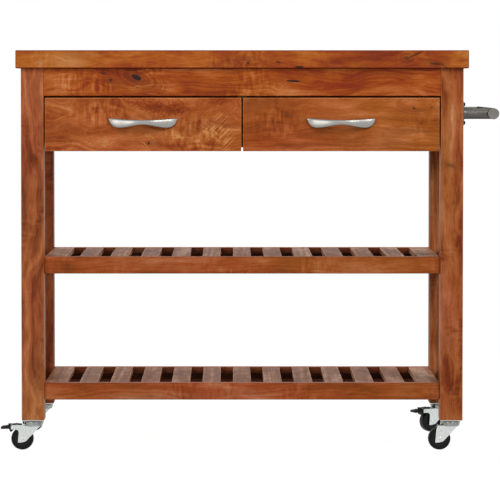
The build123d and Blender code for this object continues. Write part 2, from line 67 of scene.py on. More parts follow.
studio = {
    "ambient": 0.36,         # strength of the white room all round
    "floorSize": 400,
    "floorColour": "#9c9c9c",
    "floorShadow": 0.16,     # how much of the real floor the camera sees under its plain white
    "floorWhite": 1.17,      # a little over 1, because the real floor's share lies below white
    "lamps": {               # name: (place, aimed at, size, power)
        "keyLamp": ((2.3, -3.1, 3.3), (0.0, 0.0, 0.5), 1.7, 88),
        "fillLamp": ((-2.8, -3.3, 1.6), (-0.1, 0.0, 0.45), 2.0, 54),
        "topLamp": ((0.3, 1.2, 3.2), (0.0, 0.0, 0.6), 2.0, 40),
    },
}


def linear(hexText):
    # sRGB hex to linear light: a straight toe, then a power of 2.4
    share = np.array([int(hexText[i:i + 2], 16) for i in (1, 3, 5)]) / 255
    toe = share / 12.92
    power = ((share + 0.055) / 1.055) ** 2.4
    return (*np.where(share <= 0.04045, toe, power).tolist(), 1.0)


def addNode(tree, kind, *values, out=0, stops=(), **settings):
    # adds a node: its kind, with an operation after a dot; its inputs in order, or by name in a
    # dictionary, each a number or a socket to link; then its own settings and a ramp's colour stops
    kind, _, operation = kind.partition(".")
    node = tree.nodes.new("ShaderNode" + kind)
    if operation:
        node.operation = operation
    for name, value in settings.items():
        setattr(node, name, value)
    inputs = values[0] if values and isinstance(values[0], dict) else dict(enumerate(values))
    for key, value in inputs.items():
        if isinstance(value, bpy.types.NodeSocket):
            tree.links.new(value, node.inputs[key])
        else:
            node.inputs[key].default_value = value
    for index, (position, colour) in enumerate(stops):
        elements = node.color_ramp.elements
        stop = elements[index] if index < 2 else elements.new(position)
        stop.position = position
        stop.color = linear(colour)
    return node.outputs[out] if node.outputs else None


def newMaterial(name):
    material = bpy.data.materials.new(name)
    material.use_nodes = True
    material.node_tree.nodes.clear()
    return material, material.node_tree


def newObject(name, data):
    thing = bpy.data.objects.new(name, data)
    bpy.context.scene.collection.objects.link(thing)
    return thing


def addCamera():
    data = bpy.data.cameras.new("photoCamera")
    data.lens = photoCamera["lens"]
    data.sensor_width = photoCamera["sensor"]
    data.shift_x, data.shift_y = photoCamera["shift"]
    data.clip_end = 2 * studio["floorSize"]
    camera = newObject("photoCamera", data)
    camera.location = photoCamera["place"]
    camera.rotation_euler = (radians(90 - photoCamera["tilt"]), 0, 0)
    bpy.context.scene.camera = camera


def addLamps():
    for name, (place, target, size, power) in studio["lamps"].items():
        data = bpy.data.lights.new(name, "AREA")
        data.shape = "DISK"
        data.size = size
        data.energy = power
        lamp = newObject(name, data)
        lamp.location = place
        aim = Vector(target) - Vector(place)
        lamp.rotation_euler = aim.to_track_quat("-Z", "Y").to_euler()


def seenDirectly(tree):
    # 1 for the rays that show the white background: the camera's, and those off metal and through glass
    rays = addNode(tree, "LightPath").node.outputs
    glossy = addNode(tree, "Math.MAXIMUM", rays["Is Camera Ray"], rays["Is Glossy Ray"])
    return addNode(tree, "Math.MAXIMUM", glossy, rays["Is Transmission Ray"])


def addRoom():
    world = bpy.data.worlds.new("whiteRoom")
    bpy.context.scene.world = world
    world.use_nodes = True
    tree = world.node_tree
    tree.nodes.clear()
    strength = addNode(tree, "MapRange", seenDirectly(tree), 0.0, 1.0, studio["ambient"], 1.0)
    addNode(tree, "OutputWorld", addNode(tree, "Background", (1, 1, 1, 1), strength))


def addFloor():
    material, tree = newMaterial("paleStudioFloor")
    matt = addNode(tree, "BsdfDiffuse", linear(studio["floorColour"]))
    white = addNode(tree, "Emission", (1, 1, 1, 1), studio["floorWhite"])
    shown = addNode(tree, "MapRange", {"Value": seenDirectly(tree), "To Max": 1 - studio["floorShadow"]})
    addNode(tree, "OutputMaterial", addNode(tree, "MixShader", shown, matt, white))
    half = studio["floorSize"] / 2
    square = [(-half, -half, 0), (half, -half, 0), (half, half, 0), (-half, half, 0)]
    mesh = bpy.data.meshes.new("floor")
    mesh.from_pydata(square, [], [(0, 1, 2, 3)])
    mesh.materials.append(material)
    floor = newObject("floor", mesh)


addCamera()
addLamps()
addRoom()
addFloor()
bpy.context.scene.view_settings.view_transform = "Standard"
print("camera, floor and light")


# Surfaces: a shell is a dictionary of points and faces, and of normals, grain, tone and painted edge shading
# where it has them

def onceRound(count):
    # angles evenly spaced once round
    return np.linspace(0, 2 * np.pi, count, endpoint=False)


def softPower(values, power):
    # a power that keeps the sign; below 1, on a sine and a cosine, it squares up a circle
    return np.sign(values) * np.abs(values) ** power


def gridOf(x, y, z):
    # a grid of points, where each coordinate spreads over the rows or columns it doesn't vary with
    return np.stack(np.broadcast_arrays(x, y, z), axis=-1)


def gridShell(points, wrapRows=False, wrapColumns=True, capStart=False, capEnd=False):
    # quads between neighbours of a grid, whose rows are closed rings unless wrapColumns is off;
    # wrapRows joins the last row to the first, and a cap closes the first or last row with one face
    rows, columns = points.shape[:2]
    number = np.arange(rows * columns).reshape(rows, columns)
    first, last = number[0], number[-1]
    if wrapRows:
        number = np.vstack([number, number[:1]])
    if wrapColumns:
        number = np.hstack([number, number[:, :1]])
    quads = (number[:-1, :-1], number[:-1, 1:], number[1:, 1:], number[1:, :-1])
    faces = np.stack(quads, axis=-1).reshape(-1, 4).tolist()
    if capStart:
        faces.append(first[::-1].tolist())
    if capEnd:
        faces.append(last.tolist())
    return {"points": points.reshape(-1, 3), "faces": faces}


def joined(shells):
    # one shell of several, each one's faces counted on from the points before it
    whole = {"points": np.vstack([shell["points"] for shell in shells]), "faces": []}
    start = 0
    for shell in shells:
        whole["faces"] += [[start + corner for corner in face] for face in shell["faces"]]
        start += len(shell["points"])
    for extra in ("normals", "grain", "tone", "wear"):
        if all(extra in shell for shell in shells):
            whole[extra] = np.concatenate([shell[extra] for shell in shells])
    return whole


def moved(shell, place):
    return {**shell, "points": shell["points"] + np.array(place)}


def spun(radius, height, axis, turns=48, rise=None, closed=False):
    # a profile of radius and height carried round an axis, with a face at each end, or with its own
    # ends joined where it is closed; rise adds to the height by radius and angle
    angle = onceRound(turns)[None, :]
    radius, height = np.array(radius)[:, None], np.array(height)[:, None]
    height = height + (rise(radius, angle) if rise else 0 * angle)
    points = gridOf(radius * np.cos(angle), radius * np.sin(angle), height)
    points = np.roll(points, axis + 1, axis=-1)
    return gridShell(points, wrapRows=closed, capStart=not closed, capEnd=not closed)


endShare = 0.7               # how much of its arris a board's ends have, unless they are given their own
roundingSteps = 4


def roundedBoard(low, high, axis, arris, endArris=None):
    # a box whose long edges are quarter circles; over each end the outline draws in by
    # endArris * (1 - cos) while it runs out by endArris * sin, and a flat face closes it;
    # the painted edge shading (painted highlight or painted shade) is greatest in the middle of each rounding
    endArris = endShare * arris if endArris is None else endArris
    steps = roundingSteps
    low, high = np.roll(low, -axis), np.roll(high, -axis)
    quarter = np.linspace(0, np.pi / 2, steps + 1)
    angle = np.concatenate([quarter + side * np.pi / 2 for side in range(4)])
    cornerB = np.repeat([high[1] - arris, low[1] + arris, low[1] + arris, high[1] - arris], steps + 1)
    cornerC = np.repeat([high[2] - arris, high[2] - arris, low[2] + arris, low[2] + arris], steps + 1)
    turn = np.r_[-quarter[::-1], quarter][:, None]
    along = np.repeat([low[0] + endArris, high[0] - endArris], steps + 1)[:, None]
    inward = arris - endArris * (1 - np.cos(turn))
    cosine, sine = np.cos(angle), np.sin(angle)
    local = gridOf(along + endArris * np.sin(turn), cornerB + inward * cosine, cornerC + inward * sine)
    lean = gridOf(np.sin(turn), np.cos(turn) * cosine, np.cos(turn) * sine)
    shell = gridShell(np.roll(local, axis, axis=-1), capStart=True, capEnd=True)
    shell["normals"] = np.roll(lean, axis, axis=-1).reshape(-1, 3)
    shell["grain"] = (local - (low + high) / 2).reshape(-1, 3)
    # where the painted highlight or painted shade along the rounded edges is strongest
    shell["wear"] = np.maximum(np.abs(np.sin(2 * angle)), np.abs(np.sin(2 * turn))).ravel()
    return shell


log = {"length": 18, "nearPith": 0.05, "farPith": 0.13}  # metres


def timber(low, high, axis, arris, endArris=None):
    # a board with its own place in the log: how far along it was cut and how far from the pith
    shell = roundedBoard(low, high, axis, arris, endArris)
    bearing = chance.uniform(0, 2 * np.pi)
    distance = chance.uniform(log["nearPith"], log["farPith"])
    along = chance.uniform(-log["length"] / 2, log["length"] / 2)
    shift = (along, distance * np.cos(bearing), distance * np.sin(bearing))
    shell["grain"] = shell["grain"] + np.array(shift)
    shell["tone"] = np.full(len(shell["points"]), chance.uniform(-1, 1))
    return shell


def makePiece(name, shell, body, slot, material, nodes=(), sharp=None):
    # the shell as a mesh that rides on its body and stands for its nodes
    mesh = bpy.data.meshes.new(name)
    mesh.from_pydata(shell["points"].tolist(), [], shell["faces"])
    mesh.materials.append(material)
    mesh.polygons.foreach_set("use_smooth", np.ones(len(mesh.polygons), bool))
    if "tone" in shell:
        for extra in ("grain", "tone", "wear"):
            kind, field = ("FLOAT_VECTOR", "vector") if extra == "grain" else ("FLOAT", "value")
            mesh.attributes.new(extra, kind, "POINT").data.foreach_set(field, shell[extra].ravel())
    if "normals" in shell:
        mesh.normals_split_custom_set_from_vertices(shell["normals"])
    if sharp:
        mesh.set_sharp_from_angle(angle=radians(sharp))
    piece = newObject(name, mesh)
    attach(piece, body)
    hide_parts(*(nodes or [name]))
    return piece


weldDigits = 5               # points that agree to so many decimals of a metre are one


def solidBoxes(node):
    # boxes of a node's separate solids: each point takes the lowest number among those that share
    # a triangle with it, until nothing changes
    mesh = frame["nodes"][node].data
    points = np.empty(len(mesh.vertices) * 3)
    mesh.vertices.foreach_get("co", points)
    points = points.reshape(-1, 3)
    corners = np.empty(len(mesh.loops), int)
    mesh.loops.foreach_get("vertex_index", corners)
    places, same = np.unique(points.round(weldDigits), axis=0, return_inverse=True)
    triangles = same.ravel()[corners].reshape(-1, 3)
    label = np.arange(len(places))
    while True:
        lowest = np.repeat(label[triangles].min(axis=1), 3)
        fresh = label.copy()
        np.minimum.at(fresh, triangles.ravel(), lowest)
        if (fresh == label).all():
            break
        label = fresh
    solids = [places[label == one] for one in np.unique(label)]
    return [(solid.min(axis=0), solid.max(axis=0)) for solid in solids]


# Acacia, planed, sanded and oiled in a honey tint: broad soft clouds of gold and red-brown, faint
# lines along the grain, dark pores and knots, a satin surface, and a painted highlight or painted shade along
# the rounded edges

hardwood = {
    # the noises that make the figure: millimetres across the grain, that size over the length along
    # it, and detail; real fibres and pores are too fine for the picture, so they are drawn coarser
    "noises": {
        "clouds": (60, 0.33, 3),
        "blotches": (26, 0.5, 3),
        "streaks": (12, 0.08, 3),
        "fibres": (2.2, 0.05, 2),
        "pores": (0.9, 0.9 / 13, 0),     # 13 mm long
        "curlWhere": (110, 1, 1),
        "warmth": (140, 0.4, 2),
        "smoke": (34, 0.16, 2),
    },
    "weights": {"clouds": 0.95, "blotches": 0.45, "streaks": 0.42, "fibres": 0.34},
    "lineSpacing": 7,        # growth lines, in millimetres across the grain
    "lineWeight": 0.42,
    "toneWeight": 0.06,      # how much one board is paler than the next
    "curlSpacing": 9,        # ripples across the grain where it is curly
    "curlShare": 0.35,       # and their spacing over their length
    "curlWeight": 0.8,
    "rayWidth": 3.2,         # pale lines where the cut meets the rays, and how long they run
    "rayLength": 60,
    "driftScale": 12,        # how often the grain changes its way in a metre across
    "driftShare": 0.3,       # and how much less often along it
    "wander": 0.045,         # how far it wanders, in metres
    "raggedScale": 160,      # how finely the rims of the marks are broken up
    "solidsPlace": (0.0, 0.31, 0.23),    # where in the log the plain solids are cut
    "staveShift": (8.0, 0.12, 0.12),     # how far apart in the log the worktop's staves are cut
    "smokeColour": "#642f1c",
    # the pores' colour, which the knots and the painted shade on the rear rails also darken to
    "poreKnotAndShadeColour": "#2a1008",
    "fibreRelief": 0.5,
    "poreRelief": -1.5,
    "bump": 0.25,
    "bumpDepth": 0.4,        # millimetres
    "ior": 1.5,
    "specular": 0.2,         # oil sinks in, so the surface shines less than a lacquer
    "dullSpecular": 0.06,    # and less still where the boards inside were never sanded fine
}
dullTints = ("shadedRearLeg", "slat", "cleat", "inner", "plywood")

# what a noise or a distance becomes: (from, to, value at from, value at to), where the last two are 0
# and 1 unless they are given
noiseMiddle = (0.5, 0.5, 0.5)
noiseSpan = (0.3, 0.7)       # nearly all of a noise lies between these
eased = {"interpolation_type": "SMOOTHSTEP"}
ramps = {
    "curly": (0.5, 0.7, 0.0, 0.8),
    "curlPatch": (1.2, 0.4, 0.0, 1.3),
    "rayGlint": (0.52, 0.7, 0.0, 0.3),
    "rayPatch": (1.1, 0.5),
    "deepPatch": (1.4, 0.3, 0.0, 0.26),
    "hue": (*noiseSpan, 0.493, 0.505),
    "smoky": (0.52, 0.74, 0.0, 0.26),
    "pores": (0.64, 0.76, 0.0, 0.34),
    "polish": (*noiseSpan, 0.45, 0.56),
    "paintedShadeRamp": (1.0, 0.3, 0.0, 0.5),        # millimetres in front of the face where the painted shade begins
}

# distances from a knot's middle, where 1 is its rim
knotForm = {
    "ragged": 0.7, "core": (0.7, 1.25), "halo": (0.6, 3.6), "bulgeFall": -0.45,
    "ringScale": 1.6, "ringsFull": 2.0, "ringWeight": 0.75,
}
markPlane = -185             # millimetres: the marks lie about the legs' front faces
markDepth = 50

# each tint from its darkest streaks to its palest
tints = {
    "worktop": ("#802f08", "#a0460e", "#b9651a", "#c77a3e", "#d4915a"),
    "apron": ("#732705", "#913905", "#ae560c", "#cd783c", "#dc9a62"),
    "leftDrawer": ("#651f05", "#8a3505", "#aa521a", "#c46c36", "#da9458"),
    "rightDrawer": ("#753306", "#964606", "#ae5a1c", "#c46e38", "#d8955e"),
    "leftLeg": ("#5c2405", "#773405", "#9f5528", "#bb6d3b", "#d29460"),
    "rightLeg": ("#5c2104", "#7a3004", "#a85a26", "#bb6f42", "#d49566"),
    # the rear legs' tint is darker and duller than the front legs': painted shade for legs standing back out
    # of the light
    "shadedRearLeg": ("#5c2c16", "#743a1d", "#955029", "#ab653b", "#c18354"),
    "rail": ("#6e3008", "#884008", "#a64f1a", "#b8693c", "#ce8c5e"),
    # the slats' palest stops are pale and greyed: partly the wood's colour, partly a painted sheen for the
    # grazing reflection along their tops
    "slat": ("#642e0c", "#80451c", "#9a6440", "#c0947a", "#dcb8a0"),
    # the cleats are tinted nearly black: painted shade for the dark under the slats that shows through their
    # gaps
    "cleat": ("#1a0702", "#260d04", "#341506", "#46200e", "#5a2f1a"),
    "inner": ("#7a4a2a", "#946040", "#a87850", "#bb8f66", "#cba680"),
    "plywood": ("#8d6a48", "#a98258", "#bb9468", "#c8a47a", "#d6b892"),
}
tintStops = (0.1, 0.3, 0.5, 0.7, 0.92)

# places on the cart's front, from the middle and the floor, and half sizes, in millimetres;
# turn is the slope down to the right in degrees; swirl bends the grain more, and wear is how
# much paler the rounded edges are painted, as painted highlight, or darker, as painted shade
figure = {
    "worktop": {
        "knots": [
            {"at": (347.5, 870), "half": (7, 5), "dark": 0.6, "halo": 0.3, "bulge": 1.2, "rings": 4},
            {"at": (366, 878), "half": (20, 2.4), "turn": -24, "dark": 0.7},
            {"at": (410, 858), "half": (12, 2.8), "turn": 6, "dark": 0.8, "halo": 0.3, "bulge": 1.0},
            {"at": (430, 853), "half": (14, 2.2), "turn": 30, "dark": 0.55},
            {"at": (110.5, 851), "half": (11, 2.2), "dark": 1.0},
            {"at": (-2.5, 860), "half": (2.4, 3), "dark": 0.85},
            {"at": (64, 862), "half": (6, 2.2), "turn": 20, "dark": 0.8},
        ],
        "swirl": 1.3, "wear": -0.75,
    },
    "apron": {
        "knots": [
            {"at": (-249, 828), "half": (13, 6), "turn": 22, "dark": 1.0, "halo": 0.3, "bulge": 2.2,
             "rings": 8},
            {"at": (-306, 822), "half": (3.6, 3.2), "dark": 0.9, "halo": 0.25},
            {"at": (-322, 838), "half": (7, 3), "turn": 10, "dark": 0.6},
            {"at": (98, 820), "half": (16, 2.6), "turn": 3, "dark": 1.0, "halo": 0.15},
        ],
        "curls": [{"at": (-379, 818), "half": (58, 30)}, {"at": (-330, 806), "half": (40, 14)}],
        "swirl": 1.6, "wear": -0.1,
    },
    "leftDrawer": {
        "knots": [
            {"at": (-222, 683), "half": (3.6, 3.2), "dark": 0.85, "halo": 0.1, "bulge": 1.0, "rings": 8},
        ],
        "curls": [{"at": (-330, 750), "half": (70, 34)}, {"at": (-120, 700), "half": (80, 50)}],
        "rays": [
            {"at": (-62, 712), "half": (40, 62), "turn": -45},
            {"at": (-84, 700), "half": (44, 40), "turn": 40},
            {"at": (-222, 686), "half": (26, 18), "turn": 50},
        ],
        "deeps": [
            {"at": (-205, 762), "half": (52, 14), "turn": 14},
            {"at": (-159, 763), "half": (22, 15)},
        ],
        "swirl": 2.0, "wear": 0.5,
    },
    "rightDrawer": {
        "knots": [
            {"at": (364, 760), "half": (4, 2.2), "dark": 0.7},
            {"at": (404, 762), "half": (3, 1.8), "dark": 0.6},
        ],
        "curls": [{"at": (60, 730), "half": (60, 40)}],
        "swirl": 1.4, "wear": 0.5,
    },
    "leftLeg": {"swirl": 1.3, "wear": 0.2},
    "rightLeg": {
        "knots": [{"at": (445, 634), "half": (9, 4), "turn": 12, "dark": 0.55, "halo": 0.25}],
        "swirl": 1.3, "wear": 0.2,
    },
    "rail": {"wear": -0.3},
    "slat": {"swirl": 0.4, "wear": 0.3},
}


def grainOf(add, place, along, staves):
    # where in the log a point lies, how pale its board is, and how much painted highlight or shade its
    # rounded edges take
    if along is None:
        grain = add("Attribute", out="Vector", attribute_name="grain")
        tone = add("Attribute", out="Fac", attribute_name="tone")
        wear = add("Attribute", out="Fac", attribute_name="wear")
    else:
        parts = add("SeparateXYZ", place).node.outputs
        turned = add("CombineXYZ", *(parts[(along + step) % 3] for step in range(3)))
        grain = add("VectorMath.ADD", turned, hardwood["solidsPlace"])
        tone = wear = 0.0
    if staves:
        # glued from staves side by side: each one's number picks its own stretch of log and its tone
        across = add("SeparateXYZ", place, out="Y")
        number = add("Math.FLOOR", add("Math.DIVIDE", across, staves))
        luck = add("TexWhiteNoise", {"W": number}, out="Color", noise_dimensions="1D")
        either = add("VectorMath.SUBTRACT", luck, noiseMiddle)
        shift = add("VectorMath.MULTIPLY", either, hardwood["staveShift"])
        grain = add("VectorMath.ADD", grain, shift)
        tone = add("MapRange", {"Value": add("SeparateColor", luck), "To Min": -1.0, "To Max": 1.0})
    return grain, tone, wear


def withinMark(add, place, blur, mark, ragged=0.0):
    # how far a point is from the middle of a mark, where 1 is its rim
    (x, z), (halfX, halfZ) = mark["at"], mark["half"]
    middle = (x * millimetre, markPlane * millimetre, z * millimetre)
    half = (halfX * millimetre, markDepth * millimetre, halfZ * millimetre)
    turn = (0, radians(mark.get("turn", 0)), 0)
    local = add("Mapping", place, middle, turn, half, vector_type="TEXTURE")
    broken = add("VectorMath.MULTIPLY", blur, (ragged, 0, ragged))
    return add("VectorMath.LENGTH", add("VectorMath.ADD", broken, local), out=1)


def knotsOf(add, within, knots):
    # each knot darkens its core and its halo; bulge pushes the growth lines aside, by e to the power of
    # bulgeFall times the distance; whorl is a noise of the distance alone, so it draws rings
    look = knotForm
    darkening = bulge = whorl = 0.0
    for knot in knots:
        off = within(knot, look["ragged"])
        core = add("MapRange", off, *look["core"], knot["dark"], 0.0, **eased)
        halo = add("MapRange", off, *look["halo"], knot.get("halo", 0.0), 0.0, **eased)
        dark = add("Math.MAXIMUM", core, halo)
        darkening = add("Math.MAXIMUM", darkening, dark)
        power = add("Math.MULTIPLY", off, look["bulgeFall"])
        fall = add("Math.POWER", 2.718, power)
        bulge = add("Math.MULTIPLY_ADD", fall, knot.get("bulge", 0.0), bulge)
        if "rings" in knot:
            inputs = {"W": off, "Scale": look["ringScale"], "Detail": 2}
            rings = add("TexNoise", inputs, noise_dimensions="1D")
            either = add("Math.SUBTRACT", rings, 0.5)
            near = add("MapRange", off, look["ringsFull"], knot["rings"], look["ringWeight"], 0.0, **eased)
            whorl = add("Math.MULTIPLY_ADD", either, near, whorl)
    return darkening, bulge, whorl


def addWood(name, tint, along=None, staves=None, paintedShadeFace=None):
    # along is the axis of the grain in a solid that keeps its own shape; the others carry theirs;
    # paintedShadeFace is the Y from which the wood is darkened backwards by painted shade, for the shade
    # under the slats
    material, tree = newMaterial(name)
    add = partial(addNode, tree)
    wood = hardwood
    marks = figure.get(tint, {})
    place = add("TexCoord", out="Object")
    grain, tone, wear = grainOf(add, place, along, staves)

    # slow drift of the grain, so that its lines wander, and turn more where the figure swirls
    swirl = marks.get("swirl", 1.0)
    slow = add("VectorMath.MULTIPLY", grain, (wood["driftShare"] * swirl, 1, 1))
    drift = add("TexNoise", {"Vector": slow, "Scale": wood["driftScale"], "Detail": 2}, out="Color")
    either = add("VectorMath.SUBTRACT", drift, noiseMiddle)
    far = wood["wander"] * swirl
    wander = add("VectorMath.MULTIPLY", either, (0.0, far, far))
    bent = add("VectorMath.ADD", grain, wander)

    fine = add("TexNoise", {"Vector": place, "Scale": wood["raggedScale"]}, out="Color")
    blur = add("VectorMath.SUBTRACT", fine, noiseMiddle)
    within = partial(withinMark, add, place, blur)
    darkening, bulge, whorl = knotsOf(add, within, marks.get("knots", ()))
    # painted shade: from its inside face back, the rear rail is blended towards dark brown
    if paintedShadeFace:
        start, end, none, full = ramps["paintedShadeRamp"]
        limits = (paintedShadeFace + start * millimetre, paintedShadeFace + end * millimetre)
        darkening = add("MapRange", add("SeparateXYZ", place, out="Y"), *limits, none, full)

    # growth lines: the distance from the pith, as one noise of that distance alone
    cross = add("VectorMath.MULTIPLY", bent, (0, 1, 1))
    reach = add("VectorMath.LENGTH", cross, out=1)
    ring = add("Math.MULTIPLY_ADD", reach, 1 / (wood["lineSpacing"] * millimetre), bulge)
    lines = add("TexNoise", {"W": ring, "Scale": 1, "Detail": 2, "Roughness": 0.6}, noise_dimensions="1D")

    noise = {}
    for layer, (size, share, detail) in wood["noises"].items():
        spread = add("VectorMath.MULTIPLY", bent, (share, 1, 1))
        noise[layer] = add("TexNoise", {"Vector": spread, "Scale": 1 / (size * millimetre), "Detail": detail})
    spread = add("VectorMath.MULTIPLY", bent, (1, wood["curlShare"], wood["curlShare"]))
    often = 1 / (wood["curlSpacing"] * millimetre)
    ripples = add("TexNoise", {"Vector": spread, "Scale": often, "Detail": 1})
    curly = add("MapRange", noise["curlWhere"], *ramps["curly"], **eased)
    for curl in marks.get("curls", ()):
        patch = add("MapRange", within(curl), *ramps["curlPatch"], **eased)
        curly = add("Math.MAXIMUM", curly, patch)
    ripple = add("Math.MULTIPLY", add("Math.SUBTRACT", ripples, 0.5), curly)

    # all of it as one height on the tint's scale, about a middle of a half
    weights = wood["weights"]
    height = add("Math.MULTIPLY_ADD", tone, wood["toneWeight"], 0.5)
    for layer, weight in weights.items():
        height = add("Math.MULTIPLY_ADD", noise[layer], weight, height)
    height = add("Math.MULTIPLY_ADD", lines, wood["lineWeight"], height)
    height = add("Math.SUBTRACT", height, (sum(weights.values()) + wood["lineWeight"]) / 2)
    height = add("Math.MULTIPLY_ADD", ripple, wood["curlWeight"], height)
    height = add("Math.ADD", height, whorl)
    for ray in marks.get("rays", ()):
        turned = add("Mapping", place, (0, 0, 0), (0, radians(ray["turn"]), 0), vector_type="TEXTURE")
        share = wood["rayWidth"] / wood["rayLength"]
        spread = add("VectorMath.MULTIPLY", turned, (share, 0, 1))
        often = 1 / (wood["rayWidth"] * millimetre)
        flecks = add("TexNoise", {"Vector": spread, "Scale": often, "Detail": 1})
        glint = add("MapRange", flecks, *ramps["rayGlint"], **eased)
        patch = add("MapRange", within(ray, 0.3), *ramps["rayPatch"], **eased)
        height = add("Math.MULTIPLY_ADD", glint, patch, height)
    for deep in marks.get("deeps", ()):
        patch = add("MapRange", within(deep, 2.2), *ramps["deepPatch"], **eased)
        height = add("Math.SUBTRACT", height, patch)
    # painted highlight along the rounded edges, or painted shade where the tint's weight is negative
    height = add("Math.MULTIPLY_ADD", wear, marks.get("wear", 0.15), height)
    colour = add("ValToRGB", height, stops=list(zip(tintStops, tints[tint])))

    # the stain lies redder in some clouds than in others, and smoky brown along some streaks
    hue = add("MapRange", noise["warmth"], *ramps["hue"])
    colour = add("HueSaturation", {"Hue": hue, "Color": colour})
    smoky = add("MapRange", noise["smoke"], *ramps["smoky"], **eased)
    colour = add("Mix", {0: smoky, 6: colour, 7: linear(wood["smokeColour"])}, out=2, data_type="RGBA")
    pores = add("MapRange", noise["pores"], *ramps["pores"], **eased)
    shade = add("Math.MAXIMUM", pores, darkening)
    colour = add("Mix", {0: shade, 6: colour, 7: linear(wood["poreKnotAndShadeColour"])}, out=2, data_type="RGBA")

    sunk = add("Math.MULTIPLY", shade, wood["poreRelief"])
    relief = add("Math.MULTIPLY_ADD", noise["fibres"], wood["fibreRelief"], sunk)
    depth = wood["bumpDepth"] * millimetre
    bump = add("Bump", {"Height": relief, "Strength": wood["bump"], "Distance": depth})
    shader = add("BsdfPrincipled", {
        "Base Color": colour, "Normal": bump, "IOR": wood["ior"],
        "Roughness": add("MapRange", noise["clouds"], *ramps["polish"]),
        "Specular IOR Level": wood["dullSpecular" if tint in dullTints else "specular"],
    })
    add("OutputMaterial", shader)
    return material


# Joinery: every board is drawn from its node's box and ends where it meets a leg

boards = {
    "legArris": 2.2, "worktopArris": 2.6, "railArris": 1.3, "frontArris": 1.3, "slatArris": 1.6,
    "plainArris": 0.8, "legEndArris": 0.5, "staveWidth": 66,
    "tones": {"lower_shelf_front_rail": 1.6, "middle_shelf_front_rail": -0.6, "leg_rear_right": 0.8},
}
corners = ("front_left", "front_right", "rear_left", "rear_right")
legBoxes = {corner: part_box(f"leg_{corner}") for corner in corners}
legInside = {
    0: (legBoxes["front_left"][1].x, legBoxes["front_right"][0].x),
    1: (legBoxes["front_left"][1].y, legBoxes["rear_left"][0].y),
}


def betweenLegs(box, axis):
    # a rail's box without the tenons that are hidden in the legs
    low, high = list(box[0]), list(box[1])
    low[axis], high[axis] = legInside[axis]
    return low, high


def makeJoinery():
    names = [tint for tint in tints if tint not in ("worktop", "plywood")]
    woods = {tint: addWood(f"{tint}Acacia", tint) for tint in names}
    # the rear rails take painted shade on their inside faces
    woods["rearRail"] = addWood("rearRailAcacia", "rail", paintedShadeFace=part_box("middle_shelf_rear_rail")[0].y)
    woods["worktop"] = addWood("worktopAcacia", "worktop", staves=boards["staveWidth"] * millimetre)

    def add(name, boxes, axis, arris, wood, slot, body="frame", endArris=None):
        endArris = boards[endArris] * millimetre if endArris else None
        shells = [timber(low, high, axis, boards[arris] * millimetre, endArris) for low, high in boxes]
        shell = joined(shells)
        shell["tone"] = shell["tone"] + boards["tones"].get(name, 0)
        makePiece(name, shell, body, slot, woods[wood])

    add("worktop", [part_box("worktop")], 0, "worktopArris", "worktop", "worktop_hardwood")
    for corner, wood in zip(corners, ("leftLeg", "rightLeg", "shadedRearLeg", "shadedRearLeg")):
        add(f"leg_{corner}", [legBoxes[corner]], 2, "legArris", wood, "leg_hardwood", endArris="legEndArris")
    for node, axis in (("front_apron", 0), ("rear_apron", 0), ("left_apron", 1), ("right_apron", 1)):
        add(node, [betweenLegs(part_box(node), axis)], axis, "railArris", "apron", "frame_hardwood")
    for shelf in ("lower_shelf", "middle_shelf"):
        for rail in ("front_rail", "rear_rail"):
            node = f"{shelf}_{rail}"
            wood = "rearRail" if rail == "rear_rail" else "rail"
            add(node, [betweenLegs(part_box(node), 0)], 0, "railArris", wood, "frame_hardwood")
        ends = [betweenLegs(box, 1) for box in solidBoxes(f"{shelf}_end_rails")]
        add(f"{shelf}_end_rails", ends, 1, "railArris", "rail", "frame_hardwood")
        add(f"{shelf}_slats", solidBoxes(f"{shelf}_slats"), 1, "slatArris", "slat", "slat_hardwood")
    add("slat_cleats", solidBoxes("slat_cleats"), 0, "plainArris", "cleat", "inner_hardwood")
    add("drawer_runners", solidBoxes("drawer_runners"), 1, "plainArris", "inner", "inner_hardwood")
    for side in ("left", "right"):
        node = f"{side}_drawer_front"
        add(node, [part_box(node)], 0, "frontArris", f"{side}Drawer", "drawer_hardwood", f"{side}_drawer")


makeJoinery()
print("worktop, legs, rails, shelves and drawer fronts")


# Metal and moulded plastic

finishes = {
    # zinc castings in satin nickel plate: a soft grey shine with no grain
    "satinNickel": {"dark": "#8a8883", "light": "#a4a29d", "roughness": 0.4, "waver": 0.03, "size": 1.2,
                    "edge": "#6a6966"},
    # brushed stainless tube and posts: fine lines round the tube, which stretch the light across them
    "brushedSteel": {"dark": "#4f4d49", "light": "#686561", "roughness": 0.42, "waver": 0.05, "size": 0.7,
                     "stretch": (0.08, 1, 0.08), "edge": "#121211"},
    # stamped caps of the same steel, blasted matt: no direction, a paler and flatter grey
    "mattSteel": {"dark": "#696763", "light": "#7c7a76", "roughness": 0.5, "waver": 0.03, "size": 0.9},
    # pressed sheet in bright zinc: pale, a little blue and green, with soft ripples from the press
    "brightZinc": {"dark": "#c0c5c3", "light": "#dadedb", "roughness": 0.26, "waver": 0.06, "size": 5,
                   "relief": 0.05},
    # the race cup, deeper drawn and turned down; its darker tone is a painted reflection of the shade under
    # the leg
    "shadeReflectingZinc": {"dark": "#7c817c", "light": "#a4a8a3", "roughness": 0.2, "waver": 0.03, "size": 7,
                  "relief": 0.04},
    # hardened steel ring, smoother than the zinc round it; its near-black tone is painted shade for the dark
    # band under the plate
    "shadedRacewaySteel": {"dark": "#2c2b29", "light": "#403f3c", "roughness": 0.25, "waver": 0.03, "size": 1.5},
    # steel screws in black oxide: nearly black, with a dull oily shine
    "blackOxide": {"dark": "#090909", "light": "#121211", "roughness": 0.42, "waver": 0.05, "size": 0.8},
}

